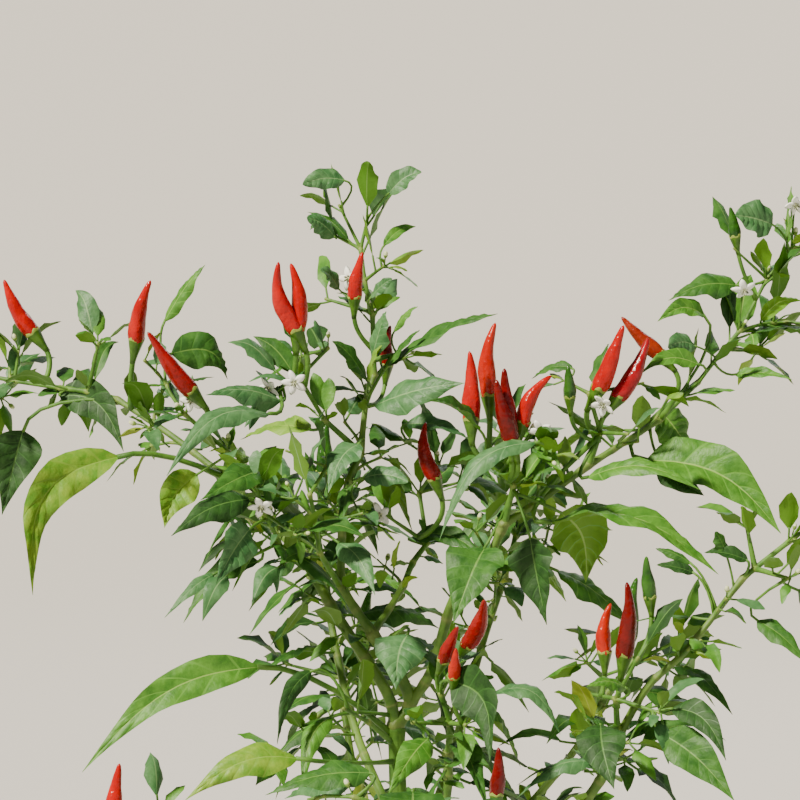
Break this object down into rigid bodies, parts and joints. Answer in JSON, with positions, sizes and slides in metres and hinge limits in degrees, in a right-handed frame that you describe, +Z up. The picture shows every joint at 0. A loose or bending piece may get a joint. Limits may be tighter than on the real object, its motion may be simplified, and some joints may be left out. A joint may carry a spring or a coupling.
{
  "type": "chilli pepper plant",
  "caption": "Bird's-eye chilli bush rooted in the ground, with a forking woody stem, an open crown of drooping leaves, upright red fruit and white flowers",
  "frame": {"origin": "centre of the flat cut under the trunk, at ground level", "axes": "+Z up along the trunk, +X to the right of the pictured view, +Y away from it"},
  "size_m": [0.5182, 0.3777, 0.5745],
  "materials": {
    "bark": "matte corky bark, brown below and green above",
    "green_stem": "smooth young bark, pale green",
    "foliage": "satin leaves with fruit and blossom"
  },
  "bodies": {
    "root": {"trunk": "bark", "bough_left": "green_stem", "bough_left_upper": "green_stem", "bough_left_arm": "green_stem", "bough_centre": "green_stem", "bough_right": "green_stem", "bough_right_arm": "green_stem", "bough_right_outer": "green_stem", "bough_middle": "green_stem", "bough_upper": "green_stem", "bough_top": "green_stem", "bough_inner": "green_stem", "bough_second": "green_stem", "bough_low_right": "green_stem", "bough_low_right_outer": "green_stem", "bough_low_left": "green_stem", "bough_low_front": "green_stem", "bough_low_back": "green_stem", "bough_low_side": "green_stem", "bough_back_right": "green_stem", "bough_back_left": "green_stem", "foliage_left_tip": "foliage", "foliage_left_inner": "foliage", "foliage_left_shoot": "foliage", "foliage_centre_left": "foliage", "foliage_centre_top": "foliage", "foliage_top": "foliage", "foliage_centre_right": "foliage", "foliage_right_fork": "foliage", "foliage_right_mid": "foliage", "foliage_right_tip": "foliage", "foliage_low_right": "foliage", "foliage_low_right_tip": "foliage", "foliage_second": "foliage", "foliage_fork": "foliage", "foliage_low_left": "foliage", "foliage_low_front": "foliage", "foliage_low_back": "foliage", "foliage_low_side": "foliage", "foliage_back_right": "foliage", "foliage_back_left": "foliage"}
  },
  "joints": []
}
